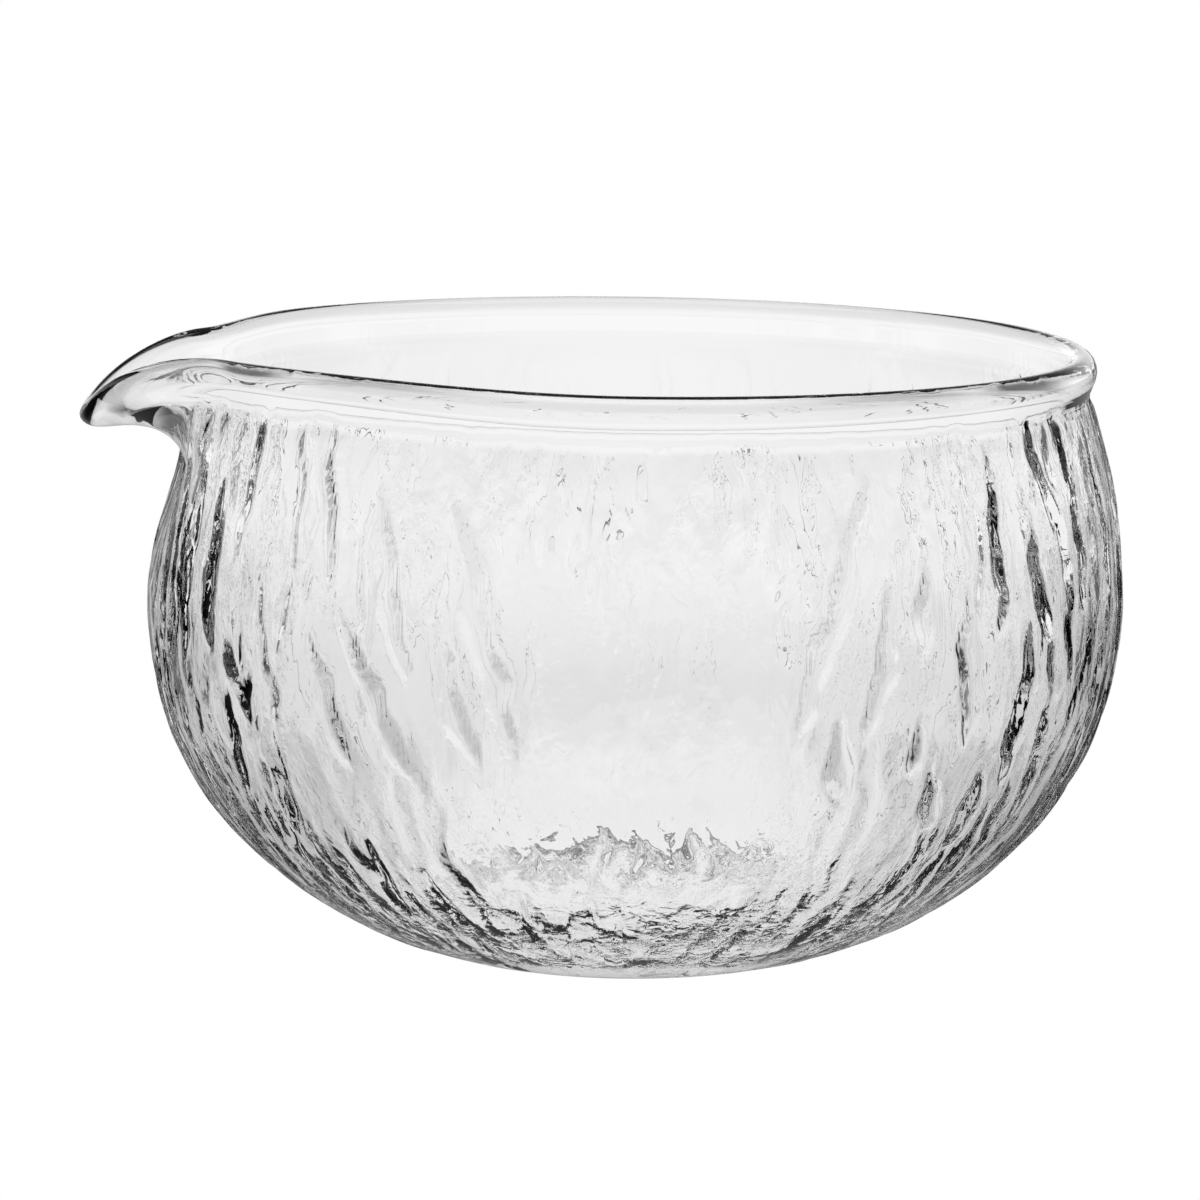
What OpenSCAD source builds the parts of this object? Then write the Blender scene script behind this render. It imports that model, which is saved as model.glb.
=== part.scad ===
// Glass bowl with a pulled pouring lip, for whisking and pouring powdered tea.
// Millimetres. The bowl stands on z = 0 with its axis on z, and the lip points along -x.
// The real bowl is one gather of glass. The nodes are the stretches that the glassmaker
// works one after another, and each meets its neighbours face to face.

/* [Body] */
// Greatest outside diameter, at the belly
body_d = 124; // [104:1:150]
// Height of the rim's crest above the table
height = 77; // [64:1:93]
// Height of the belly, where the bowl is widest
belly_h = 44.5; // [37:0.5:53.5]
// Height up to which the wall curves out from the base
curve_h = 20; // [14:0.5:26]
// Thickness of the wall
wall_t = 2.8; // [2:0.1:3.4]

/* [Foot] */
// Diameter of the level middle of the blown bottom, before the foot is ground
level_d = 26.6; // [20:0.2:32]
// Depth ground off the blown bottom to make the flat foot
ground_t = 1.1; // [0.8:0.1:1.4]
// Thickness of the glass in the middle of the bottom
base_t = 5; // [4:0.1:6]
// Diameter of the hollow under the foot
hollow_d = 34; // [28:1:41]
// Depth of the hollow under the foot
hollow_h = 0.9; // [0.5:0.1:1.2]
// Width of the outer wall, past the foot's edge, that is gathered with the base
heel_w = 4; // [3:0.5:6]

/* [Rim] */
// How far the neck under the rim lies inside the belly
neck_inset = 4.4; // [3:0.1:6]
// Height of the rim's bead, from the neck to the crest
bead_h = 5.8; // [4.8:0.1:7]
// Height of the rounded crest, above the bead's widest point
crest_h = 2.6; // [2:0.1:3.2]
// How far the bead stands out from the neck
bead_flare = 1; // [0.5:0.1:1.5]
// Thickness of the bead
bead_t = 3.7; // [3.4:0.1:4.5]
// Height of the clear collar under the bead
collar_h = 1.4; // [1:0.1:3]

/* [Pouring lip] */
// Height above the belly at which the wall begins to be drawn in under the lip
lip_root_h = 1.5; // [1:0.1:4]
// Half of the angle round the bowl that the lip is pulled from
lip_half_angle = 24; // [18:1:30]
// How quickly the pull falls away from the middle: a higher number makes a slimmer lip
lip_taper = 2.6; // [2:0.1:4]
// How far the middle of the lip is bent outwards from the wall
lip_bend = 83; // [60:1:88]
// Radius of the bend, at the middle of the glass
bend_r = 5; // [4:0.5:6]
// Height of the wall that is bent over, from the start of the bend to the crest
lip_len = 14; // [11.5:0.5:17]
// Share by which the glass is drawn longer in the middle of the lip
lip_draw = 0.28; // [0:0.01:0.34]
// Share by which the glass is drawn thinner in the middle of the lip
lip_thin = 0.15; // [0:0.01:0.35]
// How far the wall is drawn in under the lip
throat_in = 2.8; // [0:0.1:3.4]

/* [Hidden] */
$fn = 128;

glass = [0.86, 0.9, 0.9, 0.35];
curve_steps = 24;
bead_steps = 8;
hollow_steps = 8;
lip_steps = 12;

belly_r = body_d / 2;
level_r = level_d / 2;
neck_r = belly_r - neck_inset;
neck_z = height - bead_h;
bead_r = neck_r + bead_flare;
bead_z = height - crest_h;
collar_z = neck_z - collar_h;

// Radius of the arc that runs from the belly, where it is upright, to the neck
shoulder_r = (pow(neck_z - belly_h, 2) + pow(neck_inset, 2)) / (2 * neck_inset);

// The bottom's outer curve is a quarter of an ellipse, cut off where the foot is ground
outer_a = belly_r - level_r;
outer_b = belly_h + ground_t;
foot_r = level_r + outer_a * sqrt(1 - pow(belly_h / outer_b, 2));
heel_r = foot_r + heel_w;
hollow_r = hollow_d / 2;

// The bottom's inner curve is a quarter of a smaller ellipse on the same centre
inner_a = outer_a - wall_t;
inner_b = belly_h - base_t;

root_z = belly_h + lip_root_h;
bend_z = height - lip_len;

function ease(x) = let (t = min(max(x, 0), 1)) t * t * (3 - 2 * t);
function steps(from, to, n) = [for (i = [0:n]) from + (to - from) * i / n];
function reversed(list) = [for (i = [len(list) - 1:-1:0]) list[i]];

// Bottom curves, by the angle round the ellipse: 0 is level, 90 is upright at the belly
function bottom_point(t, a, b) = [level_r + a * sin(t), belly_h - b * cos(t)];
function angle_at_radius(r, a) = asin((r - level_r) / a);
function angle_at_height(z, b) = acos((belly_h - z) / b);
function bottom_curve(from, to, a, b) = [for (t = steps(from, to, curve_steps)) bottom_point(t, a, b)];

// Wall above the belly, by height
function shoulder_in(z) = shoulder_r - sqrt(pow(shoulder_r, 2) - pow(min(z, neck_z) - belly_h, 2));
function crest_share(z) = z <= bead_z ? 1 : sqrt(max(0, 1 - pow((z - bead_z) / crest_h, 2)));
function outer_side(z) = belly_r - shoulder_in(z) + bead_flare * ease((z - neck_z) / (bead_z - neck_z));
function inner_side(z) =
    let (bead_inner = bead_r - bead_t, wall_inner = belly_r - wall_t - shoulder_in(z))
    wall_inner + (bead_inner - (neck_r - wall_t)) * ease((z - neck_z) / (bead_z - neck_z));
function middle(z) = (outer_side(min(z, bead_z)) + inner_side(min(z, bead_z))) / 2;
function half_glass(z) = (outer_side(min(z, bead_z)) - inner_side(min(z, bead_z))) / 2 * crest_share(z);
function outer_point(z) = [middle(z) + half_glass(z), z];
function inner_point(z) = [middle(z) - half_glass(z), z];

// Heights at which the wall and the bead are drawn
wall_heights = steps(root_z, collar_z, curve_steps);
bead_heights = concat(
    [collar_z, neck_z],
    [for (i = [1:bead_steps]) neck_z + (bead_z - neck_z) * i / bead_steps],
    [for (i = [1:bead_steps]) bead_z + crest_h * sin(90 * i / bead_steps)]
);

// Share of the full pull at an angle from the middle of the lip
function pull(a) = abs(a) >= lip_half_angle ? 0 : pow(cos(90 * a / lip_half_angle), lip_taper);

// Way along the middle of the bent glass: [outwards, upwards, heading from upright]
function bent(u, bend) =
    let (arc = bend_r * bend * PI / 180, h = min(u / bend_r * 180 / PI, bend), rest = max(u - arc, 0))
    [bend_r * (1 - cos(h)) + rest * sin(h), bend_r * sin(h) + rest * cos(h), h];

// Where a point of the plain wall goes when the lip is pulled
function pulled(p, a) =
    let (w = pull(a), r = p[0], z = p[1])
    z <= bend_z
        ? [r - throat_in * w * ease((z - root_z) / (bend_z - root_z)), z]
        : let (
            start = middle(bend_z),
            off = (r - middle(z)) * (1 - lip_thin * w) + (middle(z) - start) * (1 - w),
            u = (min(z, bead_z) - bend_z) * (1 + lip_draw * w * w) + max(z - bead_z, 0),
            b = bent(u, lip_bend * w)
        )
        [start - throat_in * w + b[0] + off * cos(b[2]), bend_z + b[1] - off * sin(b[2])];

// A ring of wall between two heights, with the lip's angle left out
module ring(heights) {
    rotate([0, 0, 180 + lip_half_angle])
        rotate_extrude(angle = 360 - 2 * lip_half_angle)
            polygon(concat(
                [for (z = heights) outer_point(z)],
                reversed([for (z = heights) inner_point(z)])
            ));
}

// Thick bottom: ground foot with a shallow hollow under it, and the floor of the bowl
module base() {
    hollow = [for (r = steps(0, hollow_r, hollow_steps)) [r, hollow_h * (1 - pow(r / hollow_r, 2))]];
    heel = bottom_curve(
        angle_at_radius(foot_r, outer_a), angle_at_radius(heel_r, outer_a), outer_a, outer_b
    );
    floor_curve = bottom_curve(0, angle_at_radius(heel_r, inner_a), inner_a, inner_b);
    color(glass)
        rotate_extrude()
            polygon(concat(hollow, heel, reversed(floor_curve), [[0, base_t]]));
}

// Textured wall that curves out and up from the base
module lower_wall() {
    outside = bottom_curve(
        angle_at_radius(heel_r, outer_a), angle_at_height(curve_h, outer_b), outer_a, outer_b
    );
    inside = bottom_curve(
        angle_at_radius(heel_r, inner_a), angle_at_height(curve_h, inner_b), inner_a, inner_b
    );
    color(glass)
        rotate_extrude()
            polygon(concat(outside, reversed(inside)));
}

// Textured wall round the belly, up to the root of the lip
module belly_wall() {
    outside = bottom_curve(angle_at_height(curve_h, outer_b), 90, outer_a, outer_b);
    inside = bottom_curve(angle_at_height(curve_h, inner_b), 90, inner_a, inner_b);
    color(glass)
        rotate_extrude()
            polygon(concat(outside, [outer_point(root_z), inner_point(root_z)], reversed(inside)));
}

// Textured wall from the root of the lip up to the clear collar
module shoulder_wall() {
    color(glass) ring(wall_heights);
}

// Clear collar and the fire-polished bead that ends it
module rim_bead() {
    color(glass) ring(bead_heights);
}

// Pulled lip: the same wall and bead, bent outwards and drawn to a spout
module pouring_lip() {
    heights = concat(wall_heights, [for (i = [1:len(bead_heights) - 2]) bead_heights[i]]);
    loop = concat(
        [for (z = heights) outer_point(z)],
        [outer_point(height)],
        reversed([for (z = heights) inner_point(z)])
    );
    n = len(loop);
    half = floor(n / 2);
    angles = steps(-lip_half_angle, lip_half_angle, 2 * lip_steps);
    last = len(angles) - 1;
    points = [
        for (a = angles) for (p = loop)
            let (q = pulled(p, a)) [-q[0] * cos(a), -q[0] * sin(a), q[1]]
    ];
    sides = [
        for (j = [0:last - 1]) for (i = [0:n - 1])
            let (k = (i + 1) % n, here = j * n, there = (j + 1) * n)
            each [[here + i, there + i, there + k], [here + i, there + k, here + k]]
    ];
    // Each end is a strip of facets between the outside and the inside
    ends = [
        for (i = [0:half - 1])
            let (k = n - 1 - i)
            each concat(
                [[i, i + 1, k]],
                i + 1 < half ? [[i + 1, k - 1, k]] : []
            )
    ];
    far_ends = [for (f = ends) [for (v = reversed(f)) v + last * n]];
    color(glass)
        polyhedron(points, concat(sides, ends, far_ends));
}

base();
lower_wall();
belly_wall();
shoulder_wall();
rim_bead();
pouring_lip();
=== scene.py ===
import math
import random

import bmesh
import bpy
import numpy as np
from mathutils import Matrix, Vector


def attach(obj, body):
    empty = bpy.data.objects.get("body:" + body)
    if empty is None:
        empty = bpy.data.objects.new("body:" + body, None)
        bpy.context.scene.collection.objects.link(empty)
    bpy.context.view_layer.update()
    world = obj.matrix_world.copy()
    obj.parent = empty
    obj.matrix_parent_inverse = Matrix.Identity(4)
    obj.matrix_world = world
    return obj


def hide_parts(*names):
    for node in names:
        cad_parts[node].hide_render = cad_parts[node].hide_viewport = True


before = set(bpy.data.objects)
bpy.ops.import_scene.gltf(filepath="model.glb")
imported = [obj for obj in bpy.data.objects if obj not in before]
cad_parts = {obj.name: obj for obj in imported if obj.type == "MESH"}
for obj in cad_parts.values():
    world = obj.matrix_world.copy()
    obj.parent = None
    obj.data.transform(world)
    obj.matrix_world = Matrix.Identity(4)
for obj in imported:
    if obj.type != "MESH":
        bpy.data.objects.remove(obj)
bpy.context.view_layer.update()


# Blown bowl: one gather of clear glass, blown into a bark-textured mould and turned on the
# iron. Thick at the bottom, thin in the wall, with a fire-polished bead round the rim and a
# foot that is ground flat with a shallow hollow inside it.
belly_radius = 0.062
belly_height = 0.0445
rim_height = 0.077
wall = 0.0028

level_radius = 0.0133
ground_depth = 0.0011
base_thickness = 0.004
hollow_radius = 0.017
hollow_depth = 0.0002

neck_inset = 0.0044
bead_height = 0.0058
crest_height = 0.0023
bead_flare = 0.001
bead_thickness = 0.0037

hollow_rows = 4
foot_shares = (0.5, 0.97)
outer_rows = 54
shoulder_rows = 22
bead_rows = 4
crest_rows = 5
inner_shoulder_skip = 5
inner_rows = 10
floor_shares = (0.5, 0.0)
quarter_steps = 206
merge_distance = 1e-7

neck_height = rim_height - bead_height
bead_middle = rim_height - crest_height
shoulder_radius = ((neck_height - belly_height) ** 2 + neck_inset ** 2) / (2 * neck_inset)
outer_across = belly_radius - level_radius
outer_down = belly_height + ground_depth
inner_across = outer_across - wall
inner_down = belly_height - base_thickness
foot_angle = math.acos(belly_height / outer_down)


def eased(share):
    share = np.clip(share, 0.0, 1.0)
    return share * share * (3 - 2 * share)


def shoulder_in(height):
    rise = np.clip(height, belly_height, neck_height) - belly_height
    return shoulder_radius - np.sqrt(shoulder_radius ** 2 - rise ** 2)


def bead_swell(height):
    return eased((height - neck_height) / (bead_middle - neck_height))


def wall_middle(height):
    level = np.minimum(height, bead_middle)
    swell = (bead_flare - (bead_thickness - wall) / 2) * bead_swell(level)
    return belly_radius - wall / 2 - shoulder_in(level) + swell


def wall_half(height):
    over_crest = np.clip((height - bead_middle) / crest_height, 0, 1)
    thickness = wall + (bead_thickness - wall) * bead_swell(height)
    return thickness / 2 * np.sqrt(1 - over_crest ** 2)


def lower_point(angle, across, down):
    return level_radius + across * math.sin(angle), belly_height - down * math.cos(angle)


hollow_line = [
    (hollow_radius * i / hollow_rows, hollow_depth * (1 - (i / hollow_rows) ** 2))
    for i in range(hollow_rows + 1)
]
foot_radius = lower_point(foot_angle, outer_across, outer_down)[0]
foot_line = [(hollow_radius + (foot_radius - hollow_radius) * share, 0.0) for share in foot_shares]
outer_sweep = math.pi / 2 - foot_angle
outer_line = [
    lower_point(foot_angle + outer_sweep * i / outer_rows, outer_across, outer_down)
    for i in range(outer_rows + 1)
]
shoulder_step = (neck_height - belly_height) / shoulder_rows
shoulder_heights = [belly_height + shoulder_step * i for i in range(1, shoulder_rows + 1)]
bead_heights = [
    neck_height + (bead_middle - neck_height) * i / bead_rows for i in range(1, bead_rows + 1)
]
crest_heights = [
    bead_middle + crest_height * math.sin(math.pi / 2 * i / crest_rows)
    for i in range(1, crest_rows + 1)
]
rim_heights = shoulder_heights + bead_heights + crest_heights
inside_heights = crest_heights[-2::-1] + bead_heights[::-1]
inside_heights += shoulder_heights[::-inner_shoulder_skip]
inner_line = [
    lower_point(math.pi / 2 * (1 - i / inner_rows), inner_across, inner_down)
    for i in range(inner_rows + 1)
]

profile = hollow_line + foot_line + outer_line
profile += [(wall_middle(height) + wall_half(height), height) for height in rim_heights]
profile += [(wall_middle(height) - wall_half(height), height) for height in inside_heights]
profile += inner_line + [(level_radius * share, base_thickness) for share in floor_shares]
first_outer = len(hollow_line) + len(foot_line)
last_outer = first_outer + len(outer_line) + len(rim_heights)

outer_heights = [height for radius, height in profile[first_outer:last_outer]]
outer_arcs = [0.0]
for i in range(first_outer + 1, last_outer):
    outer_arcs.append(outer_arcs[-1] + math.dist(profile[i], profile[i - 1]))
arc_length = outer_arcs[-1]

bowl_mesh = bmesh.new()
outside_mark = bowl_mesh.verts.layers.float.new("outside")
arc_mark = bowl_mesh.verts.layers.float.new("arc")
profile_verts = []
for i, (radius, height) in enumerate(profile):
    vert = bowl_mesh.verts.new((radius, 0, height))
    vert[arc_mark] = outer_arcs[min(max(i - first_outer, 0), len(outer_arcs) - 1)]
    vert[outside_mark] = 1.0 if first_outer <= i < last_outer else 0.0
    profile_verts.append(vert)
profile_edges = [bowl_mesh.edges.new(pair) for pair in zip(profile_verts, profile_verts[1:])]
bmesh.ops.spin(
    bowl_mesh, geom=profile_verts + profile_edges, cent=(0, 0, 0), axis=(0, 0, 1),
    angle=math.pi / 2, steps=quarter_steps,
)
for axis in ("X", "Y"):
    spun = bowl_mesh.verts[:] + bowl_mesh.edges[:] + bowl_mesh.faces[:]
    bmesh.ops.mirror(bowl_mesh, geom=spun, merge_dist=merge_distance, axis=axis)
bmesh.ops.remove_doubles(bowl_mesh, verts=bowl_mesh.verts[:], dist=merge_distance)
bmesh.ops.recalc_face_normals(bowl_mesh, faces=bowl_mesh.faces[:])
for face in bowl_mesh.faces:
    face.smooth = True
bowl_data = bpy.data.meshes.new("glass_bowl")
bowl_mesh.to_mesh(bowl_data)
bowl_mesh.free()


# Bark relief: the mould's rough inside leaves drips, grooves, ridges and wrinkles that run up
# and down the outside of the wall. They start under the clear collar and fade out at the foot.
# The clearest drips of the front are placed one by one, and all others are spread evenly.
drip_count = 210
drip_half_width = (0.0013, 0.0022)
drip_length = (0.012, 0.028)
drip_height = (0.0003, 0.0005)
drip_steps = (0.7549, 0.5698)
groove_count = 70
groove_half_width = (0.0009, 0.0015)
groove_depth = (0.0005, 0.0007)
groove_steps = (0.8192, 0.6711)
drip_lean = 0.16

# Outline of a drip: how it sways and wobbles on its way down, and how full it hangs.
drip_reach = 0.3
sway_length = 0.0021
slow_sway = 0.0004
quick_sway = 0.00025
quick_rate = 2.3
edge_wobble = 0.2
wobble_rate = 1.7
hang_low = 1.4
fullness = 0.6

# The middle of the front is clearer in between, so what is spread evenly is fainter there.
faint = 0.4
faint_half_angle = 36
faint_above = 0.022

# Each front drip: turn from the front in degrees and height in mm, of its top and of its drop.
front_drip_half_width = (0.0013, 0.0018)
front_drip_height = 0.001
front_drips = (
    (-61, 64, -62, 44), (-58, 45, -55, 36), (-52, 36, -52, 21), (-44, 69, -41, 53),
    (-44, 48, -39, 32), (-40, 52, -30, 29), (-35, 65, -31, 43), (-27, 49, -23, 33),
    (-26, 65, -18, 34), (18, 39, 20, 28), (23, 68, 13, 37), (25, 55, 22, 36),
    (29, 56, 29, 46), (29, 37, 29, 31), (31, 31, 34, 23), (35, 53, 36, 34),
    (41, 69, 41, 47), (41, 30, 39, 20), (46, 48, 44, 28), (47, 59, 49, 45), (50, 69, 54, 56),
)

wave_count = 14
ridges_round = (40, 100)
ridge_length = (0.012, 0.04)
ridge_height = 0.00005
wrinkles_round = (90, 190)
wrinkle_length = (0.005, 0.014)
wrinkle_height = 0.000015
pressed_in = 0.0001

# Where the relief stops: by the drips for the grooves, then at the foot, collar and inside.
groove_stop = 0.0002
full_drip = 0.0004
full_groove = 0.0006
foot_share = 0.35
foot_calm = 0.006
foot_calm_fade = 0.018
foot_edge = 0.0002
foot_fade = 0.002
collar_edge = 0.0724
collar_dip = 0.006
collar_fade = 0.003
far_collar_fade = 0.011
far_off = 0.05
inside_top = 0.022
inside_fade = 0.012

lip_half_angle = math.radians(41)
lip_taper = 6.8

vert_count = len(bowl_data.vertices)
places = np.empty(3 * vert_count)
normals = np.empty(3 * vert_count)
arcs = np.empty(vert_count)
outside = np.empty(vert_count)
bowl_data.vertices.foreach_get("co", places)
bowl_data.vertices.foreach_get("normal", normals)
bowl_data.attributes["arc"].data.foreach_get("value", arcs)
bowl_data.attributes["outside"].data.foreach_get("value", outside)
places = places.reshape(-1, 3)
normals = normals.reshape(-1, 3)
turns = np.arctan2(places[:, 1], places[:, 0])
radii = np.hypot(places[:, 0], places[:, 1])
heights = places[:, 2]
from_lip = np.arctan2(-places[:, 1], -places[:, 0])
lip_pull = np.cos(np.clip(from_lip / lip_half_angle, -1, 1) * math.pi / 2) ** lip_taper

dice = random.Random(5)


def waves(count, round_range, along_range):
    """Crossing waves that go round the wall a whole number of times, so no seam shows."""
    field = np.zeros(vert_count)
    for _ in range(count):
        waves_round = dice.randint(*round_range) * dice.choice((-1, 1))
        wave_length = dice.uniform(*along_range)
        phase = dice.uniform(0, 2 * math.pi)
        field += np.sin(waves_round * turns + 2 * math.pi * arcs / wave_length + phase)
    return field / math.sqrt(count)


def drip(top_turn, top_arc, low_turn, low_arc, half_width, height):
    """Raised run of glass that hangs from its thin top and swells towards its drop."""
    share = (top_arc - arcs) / (top_arc - low_arc)
    offset = turns - top_turn - (low_turn - top_turn) * share
    offset = (offset + math.pi) % (2 * math.pi) - math.pi
    beside = np.abs(offset) < drip_reach
    near = np.flatnonzero(beside & (share > 0) & (share < 1) & (outside > 0.5))
    bend = arcs[near] / sway_length + dice.uniform(0, 2 * math.pi)
    sway = slow_sway * np.sin(bend) + quick_sway * np.sin(quick_rate * bend + 1)
    swell = np.sin(math.pi * share[near] ** hang_low) ** fullness
    edge = half_width * swell * (1 + edge_wobble * np.sin(wobble_rate * bend + 2))
    across = (offset[near] * radii[near] - sway) / edge
    raised = np.zeros(vert_count)
    raised[near] = height * np.sqrt(swell) * np.clip(1 - across ** 4, 0, 1)
    return raised


def scattered(count, length_range, width_range, height_range, step_round, step_along):
    """Runs spread evenly over the wall, by steps that are shares of its round and its height."""
    field = np.zeros(vert_count)
    for i in range(count):
        turn = 2 * math.pi * (i * step_round % 1)
        length = dice.uniform(*length_range)
        low_arc = arc_length * (i * step_along % 1) - length / 2
        lean = dice.uniform(-drip_lean, drip_lean) * length / belly_radius
        height = dice.uniform(*height_range)
        front_turn = (math.degrees(turn) + 90 + 180) % 360 - 180
        if abs(front_turn) < faint_half_angle and low_arc > faint_above:
            height *= faint
        width = dice.uniform(*width_range)
        run = drip(turn - lean / 2, low_arc + length, turn + lean / 2, low_arc, width, height)
        field = np.maximum(field, run)
    return field


raised = scattered(drip_count, drip_length, drip_half_width, drip_height, *drip_steps)
sunk = scattered(groove_count, drip_length, groove_half_width, groove_depth, *groove_steps)
for top_turn, top_height, low_turn, low_height in front_drips:
    top_arc, low_arc = np.interp((top_height / 1000, low_height / 1000), outer_heights, outer_arcs)
    half_width = dice.uniform(*front_drip_half_width)
    top_angle = math.radians(top_turn - 90)
    low_angle = math.radians(low_turn - 90)
    run = drip(top_angle, top_arc, low_angle, low_arc, half_width, front_drip_height)
    raised = np.maximum(raised, run)
sunk *= eased(1 - raised / groove_stop)
ridges = waves(wave_count, ridges_round, ridge_length)
wrinkles = waves(wave_count, wrinkles_round, wrinkle_length)
calmer = foot_share + (1 - foot_share) * eased((heights - foot_calm) / foot_calm_fade)
relief = (raised - sunk) * calmer + ridge_height * ridges + wrinkle_height * wrinkles - pressed_in
runs = raised / full_drip - sunk / full_groove
texture_top = collar_edge - collar_dip * lip_pull
top_fade = collar_fade + far_collar_fade * eased(places[:, 1] / far_off)
shown = eased((texture_top - heights) / top_fade)
shown = shown * eased((heights - foot_edge) / foot_fade) * outside
rippled = shown * calmer + (1 - outside) * eased((inside_top - heights) / inside_fade)
wall_place = np.stack([np.cos(turns) * belly_radius, np.sin(turns) * belly_radius, arcs], axis=1)
wall_place = np.where(outside[:, None] > 0.5, wall_place, places)
places += normals * (relief * shown)[:, None]


# Pouring lip: while the rim is soft, the glass over a narrow stretch is drawn in below, bent
# outwards over a rod and pulled to a rounded tip. The rim rises a little towards it, and as
# it is made by hand, its two flanks are not quite alike.
lip_root = belly_height + 0.0015
bend_start = rim_height - 0.014
lip_bend = math.radians(88)
bend_radius = 0.005
lip_draw = 0.28
lip_thin = 0.15
throat_in = 0.0028
rim_rise = 0.0135
far_half_fade = 0.6
far_rim_lift = 0.0006
far_crest = 0.85

# Each uneven stretch of the rim: lift, its middle from the lip and its half width in degrees.
uneven_stretches = ((0.0007, 46, 40), (-0.0008, -18, 26), (-0.0006, 11, 14), (-0.0013, -9, 12))

radii = np.hypot(places[:, 0], places[:, 1])
heights = places[:, 2]
drawn_in = throat_in * lip_pull * eased((heights - lip_root) / (bend_start - lip_root))
bend_middle = wall_middle(bend_start)
offset = (radii - wall_middle(heights)) * (1 - lip_thin * lip_pull)
offset += (wall_middle(heights) - bend_middle) * (1 - lip_pull)
far_half = eased(-np.sin(from_lip) / far_half_fade)
along = (np.minimum(heights, bead_middle) - bend_start) * (1 + lip_draw * lip_pull ** 2)
along += np.maximum(heights - bead_middle, 0) * (1 - (1 - far_crest) * far_half)
bend = lip_bend * lip_pull
heading = np.minimum(along / bend_radius, bend)
straight = np.maximum(along - bend_radius * bend, 0)
out = bend_radius * (1 - np.cos(heading)) + straight * np.sin(heading)
up = bend_radius * np.sin(heading) + straight * np.cos(heading)
bent = heights > bend_start
new_radii = np.where(bent, bend_middle + out + offset * np.cos(heading), radii) - drawn_in
heights = np.where(bent, bend_start + up - offset * np.sin(heading), heights)
places[:, 0] = -new_radii * np.cos(from_lip)
places[:, 1] = -new_radii * np.sin(from_lip)
lifted = eased((heights - belly_height) / (rim_height - belly_height))
uneven = far_rim_lift * far_half - rim_rise * places[:, 0]
for lift, middle, reach in uneven_stretches:
    beside = np.clip((np.degrees(from_lip) - middle) / reach, -1, 1)
    uneven += lift * np.cos(beside * math.pi / 2) ** 2
places[:, 2] = heights + uneven * lifted

bowl_data.vertices.foreach_set("co", places.ravel())
bowl_data.attributes.new("bark", "FLOAT", "POINT").data.foreach_set("value", rippled)
bowl_data.attributes.new("runs", "FLOAT", "POINT").data.foreach_set("value", runs)
place_data = bowl_data.attributes.new("wall_place", "FLOAT_VECTOR", "POINT").data
place_data.foreach_set("vector", wall_place.ravel())
bowl_data.update()
glass_bowl = bpy.data.objects.new("glass_bowl", bowl_data)
bpy.context.scene.collection.objects.link(glass_bowl)


# Glass of the bowl: clear and almost colourless, with a trace of grey where it is thick. Its
# skin is fire-polished at the rim and on the inner wall, and frayed and grainy where it met the
# mould. The thick bottom is a little uneven inside as well.
blown_glass = bpy.data.materials.new("blown_glass")
blown_glass.use_nodes = True
glass = blown_glass.node_tree
nodes = glass.nodes
links = glass.links
shader = nodes["Principled BSDF"]
shader.inputs["Base Color"].default_value = (1, 1, 1, 1)
shader.inputs["Roughness"].default_value = 0.0
shader.inputs["IOR"].default_value = 1.47
shader.inputs["Transmission Weight"].default_value = 1.0

tint = nodes.new("ShaderNodeVolumeAbsorption")
tint.inputs["Color"].default_value = (0.90, 0.905, 0.90, 1)
tint.inputs["Density"].default_value = 20.0
links.new(tint.outputs["Volume"], nodes["Material Output"].inputs["Volume"])

place = nodes.new("ShaderNodeAttribute")
place.attribute_name = "wall_place"
run_mark = nodes.new("ShaderNodeAttribute")
run_mark.attribute_name = "runs"
bark_mark = nodes.new("ShaderNodeAttribute")
bark_mark.attribute_name = "bark"

fray_share = 0.5
patch_share = 2.2
grain_share = 1.6
mark_depth = 0.00008


def mixed(tree, operation, *values):
    step = tree.nodes.new("ShaderNodeMath")
    step.operation = operation
    for socket, value in zip(step.inputs, values):
        if isinstance(value, float):
            socket.default_value = value
        else:
            tree.links.new(value, socket)
    return step.outputs["Value"]


def ramped(tree, value, low, high, first=0.0, last=1.0):
    slope = tree.nodes.new("ShaderNodeMapRange")
    slope.interpolation_type = "SMOOTHSTEP"
    slope.inputs["From Min"].default_value = low
    slope.inputs["From Max"].default_value = high
    slope.inputs["To Min"].default_value = first
    slope.inputs["To Max"].default_value = last
    tree.links.new(value, slope.inputs["Value"])
    return slope.outputs["Result"]


def cloudy(scale, stretch, warp):
    drawn_out = nodes.new("ShaderNodeMapping")
    drawn_out.inputs["Scale"].default_value = (1, 1, stretch)
    links.new(place.outputs["Vector"], drawn_out.inputs["Vector"])
    clouds = nodes.new("ShaderNodeTexNoise")
    clouds.inputs["Scale"].default_value = scale
    clouds.inputs["Detail"].default_value = 2
    clouds.inputs["Distortion"].default_value = warp
    links.new(drawn_out.outputs["Vector"], clouds.inputs["Vector"])
    return clouds.outputs["Fac"]


fray = mixed(glass, "SUBTRACT", cloudy(scale=300, stretch=0.6, warp=0.8), 0.5)
frayed = mixed(glass, "MULTIPLY_ADD", fray, fray_share, run_mark.outputs["Fac"])
drip_edges = ramped(glass, frayed, 0.1, 0.7)
groove_edges = ramped(glass, frayed, -0.7, -0.1, first=1.0, last=0.0)
edges = mixed(glass, "SUBTRACT", drip_edges, groove_edges)
grain_areas = ramped(glass, cloudy(scale=90, stretch=0.6, warp=0.6), 0.44, 0.6)
grain = mixed(glass, "MULTIPLY", cloudy(scale=850, stretch=0.7, warp=0.8), grain_areas)
patches = cloudy(scale=260, stretch=0.6, warp=1.0)
marks = mixed(glass, "MULTIPLY_ADD", patches, patch_share, edges)
marks = mixed(glass, "MULTIPLY_ADD", grain, grain_share, marks)
ripple = nodes.new("ShaderNodeBump")
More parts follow.
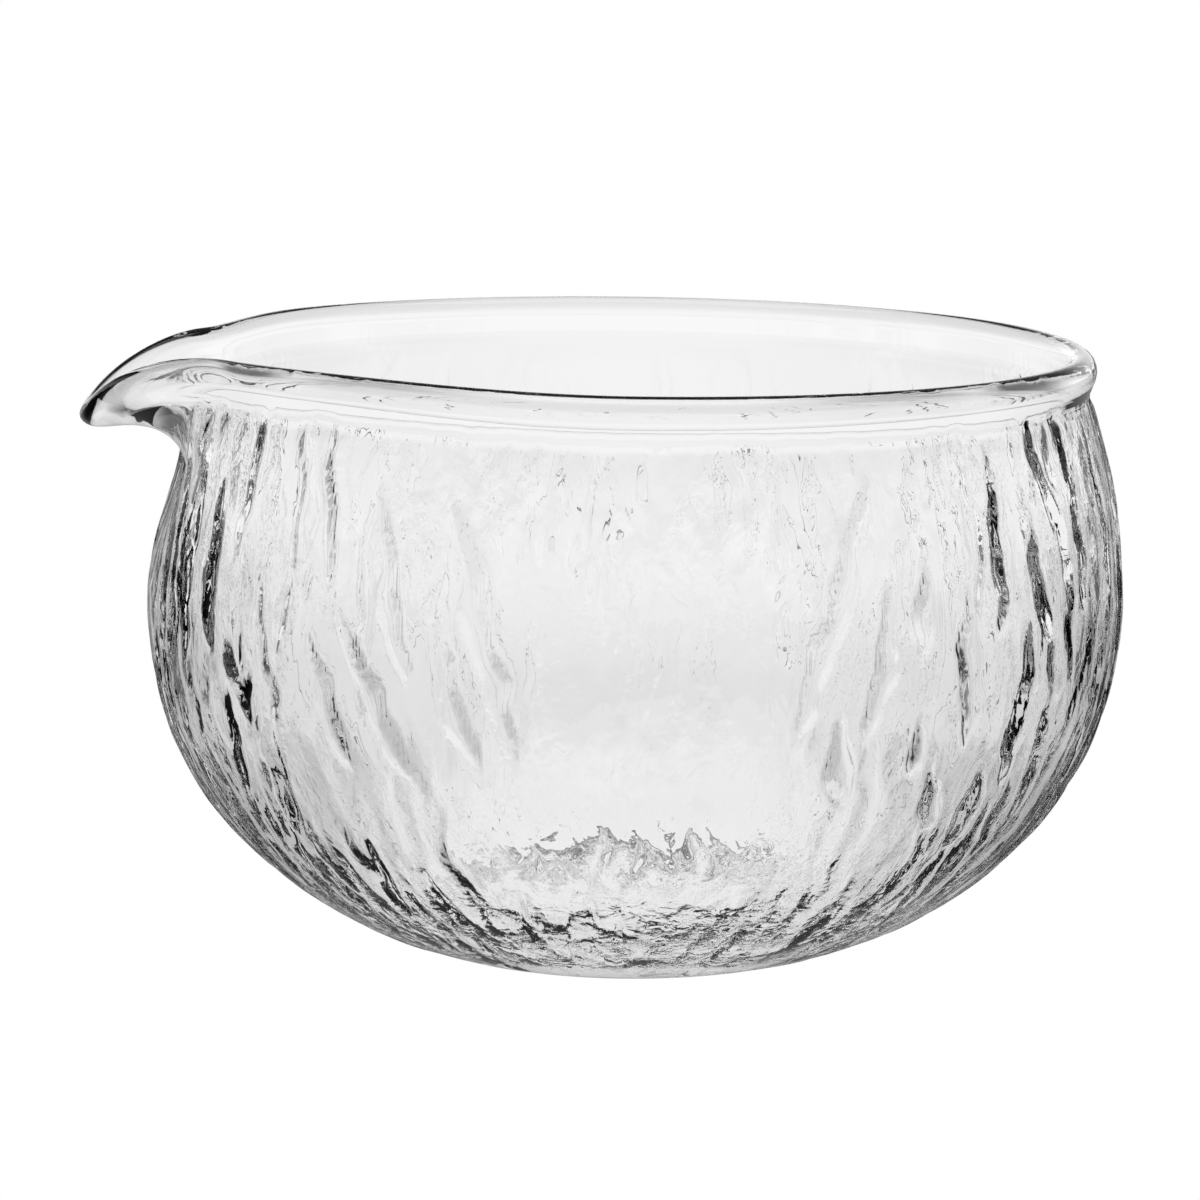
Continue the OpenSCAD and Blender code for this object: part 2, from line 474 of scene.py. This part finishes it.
ripple.inputs["Distance"].default_value = mark_depth
links.new(bark_mark.outputs["Fac"], ripple.inputs["Strength"])
links.new(marks, ripple.inputs["Height"])
links.new(ripple.outputs["Normal"], shader.inputs["Normal"])

bowl_data.materials.append(blown_glass)
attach(glass_bowl, "root")
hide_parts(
    "base", "lower_wall", "belly_wall", "shoulder_wall", "rim_bead", "pouring_lip"
)


# Table: a pale top that glows evenly to the camera. Rays that come through the glass see it a
# little dimmer, with painted light and shade on it: a painted shadow beside the foot and round the
# bowl, a painted pool of light under it, and painted dark cards on either side, as is set up for
# clear glass. Rays that are turned inside the glass see the painted cards in full, and others
# faintly or not at all; rays reflected off the outer skin see the whole top darker.
view_turn = math.radians(5)
table_half_width = 6
table_height = -0.0003
skin_reflection_shade = 0.35

# The painted cards start and end at degrees off the straight side, and at metres from the bowl's
# middle.
painted_card_dark = 0.88
painted_card_straight_share = 0.35
painted_card_start = (0, 14)
painted_card_end = (28, 56)
painted_card_distance = (0.09, 0.16)
shade_dark = 0.4
shade_end = (0.07, 0.12)
shade_sideways = (0.02, 0.06)

floor_mesh = bmesh.new()
bmesh.ops.create_grid(floor_mesh, x_segments=1, y_segments=1, size=table_half_width)
bmesh.ops.translate(floor_mesh, verts=floor_mesh.verts[:], vec=(0, 0, table_height))
floor_data = bpy.data.meshes.new("table_top")
floor_mesh.to_mesh(floor_data)
floor_mesh.free()
table_top = bpy.data.objects.new("table_top", floor_data)
bpy.context.scene.collection.objects.link(table_top)
pale_top = bpy.data.materials.new("pale_top")
pale_top.use_nodes = True
top = pale_top.node_tree
top.nodes.clear()
glow = top.nodes.new("ShaderNodeEmission")
top_out = top.nodes.new("ShaderNodeOutputMaterial")
top.links.new(glow.outputs["Emission"], top_out.inputs["Surface"])

top_place = top.nodes.new("ShaderNodeTexCoord")
facing = top.nodes.new("ShaderNodeMapping")
facing.inputs["Rotation"].default_value = (0, 0, view_turn)
top.links.new(top_place.outputs["Object"], facing.inputs["Vector"])
away = top.nodes.new("ShaderNodeVectorMath")
away.operation = "LENGTH"
top.links.new(facing.outputs["Vector"], away.inputs[0])
distance = away.outputs["Value"]
spot = top.nodes.new("ShaderNodeSeparateXYZ")
top.links.new(facing.outputs["Vector"], spot.inputs["Vector"])
sideways = mixed(top, "ABSOLUTE", spot.outputs["X"])
bearing = mixed(top, "DEGREES", mixed(top, "ARCTAN2", sideways, spot.outputs["Y"]))
off_side = mixed(top, "ABSOLUTE", mixed(top, "SUBTRACT", bearing, 90.0))

top_path = top.nodes.new("ShaderNodeLightPath")
walls_crossed = top_path.outputs["Transmission Depth"]
turned_inside = ramped(top, top_path.outputs["Glossy Depth"], 0.4, 0.6)
passed_through = ramped(top, walls_crossed, 3.4, 3.6, first=0.0, last=painted_card_straight_share)
# Painted dark cards: the table's glow is darkened in a wedge on either side, for rays that come
# through the glass.
painted_card = ramped(top, off_side, *painted_card_end, first=1.0, last=0.0)
painted_card = mixed(top, "MULTIPLY", ramped(top, off_side, *painted_card_start), painted_card)
painted_card = mixed(top, "MULTIPLY", painted_card, ramped(top, distance, *painted_card_distance))
painted_card = mixed(top, "MULTIPLY", painted_card, mixed(top, "MAXIMUM", turned_inside, passed_through))
shade = ramped(top, distance, *shade_end, first=1.0, last=0.0)
shade = mixed(top, "MULTIPLY", shade, ramped(top, sideways, *shade_sideways))

# Painted pool of light under the bowl, and a painted shadow round it that is darker nearer the
# bowl.
painted_glow_under_bowl = ramped(top, distance, 0.05, 0.11, first=1.12, last=1.0)
painted_falloff_shade = ramped(top, distance, 0.08, 0.5, first=0.78, last=0.91)
level = mixed(top, "MULTIPLY", painted_glow_under_bowl, painted_falloff_shade)
level = mixed(top, "MULTIPLY", level, mixed(top, "MULTIPLY_ADD", painted_card, -painted_card_dark, 1.0))
level = mixed(top, "MULTIPLY", level, mixed(top, "MULTIPLY_ADD", shade, -shade_dark, 1.0))
# Painted shade in the reflection: rays reflected off the outer skin see the table darker.
entered = ramped(top, walls_crossed, 0.4, 0.6, first=skin_reflection_shade, last=1.0)
level = mixed(top, "MULTIPLY", level, entered)
level = mixed(top, "MAXIMUM", level, top_path.outputs["Is Camera Ray"])
top.links.new(level, glow.inputs["Strength"])
floor_data.materials.append(pale_top)


# Room and camera: a white room with one wide soft lamp overhead. The glass sees the room
# darker above, and its outer skin reflects mostly the bright band along the horizon.
# The camera stands a little to the left of the front, 0.7 m away and above the rim.
surround = bpy.data.worlds.new("surround")
surround.use_nodes = True
room = surround.node_tree
way = room.nodes.new("ShaderNodeTexCoord")
way_parts = room.nodes.new("ShaderNodeSeparateXYZ")
room.links.new(way.outputs["Generated"], way_parts.inputs["Vector"])
upward = way_parts.outputs["Z"]
room_path = room.nodes.new("ShaderNodeLightPath")
through = ramped(room, room_path.outputs["Transmission Depth"], 0.4, 0.6)
dimmer_above = ramped(room, upward, 0.7, 0.9, first=0.95, last=0.5)
room_level = mixed(room, "MULTIPLY", through, dimmer_above)
on_skin = mixed(room, "SUBTRACT", 1.0, through)
horizon_glow = ramped(room, upward, 0.12, 0.4, first=1.3, last=0.15)
room_level = mixed(room, "MULTIPLY_ADD", on_skin, horizon_glow, room_level)
room_level = mixed(room, "MAXIMUM", room_level, room_path.outputs["Is Camera Ray"])
room.links.new(room_level, room.nodes["Background"].inputs["Strength"])
room.nodes["Background"].inputs["Color"].default_value = (1, 1, 1, 1)
bpy.context.scene.world = surround
bpy.context.scene.view_settings.view_transform = "Standard"

soft_light = bpy.data.lights.new("soft_light", "AREA")
soft_light.shape = "RECTANGLE"
soft_light.size = 0.9
soft_light.size_y = 0.6
soft_light.energy = 2
light_object = bpy.data.objects.new("soft_light", soft_light)
light_object.location = (0, 0.1, 0.9)
bpy.context.scene.collection.objects.link(light_object)

camera_away = 0.7
camera_height = 0.1544
aim = Vector((-0.0043, 0, 0.0441))
camera_data = bpy.data.cameras.new("camera")
camera_data.sensor_width = 36
camera_data.lens = 166.4
camera = bpy.data.objects.new("camera", camera_data)
camera_left = camera_away * math.sin(view_turn)
camera_front = camera_away * math.cos(view_turn)
camera.location = (-camera_left, -camera_front, camera_height)
camera.rotation_euler = (aim - camera.location).to_track_quat("-Z", "Y").to_euler()
bpy.context.scene.collection.objects.link(camera)
bpy.context.scene.camera = camera
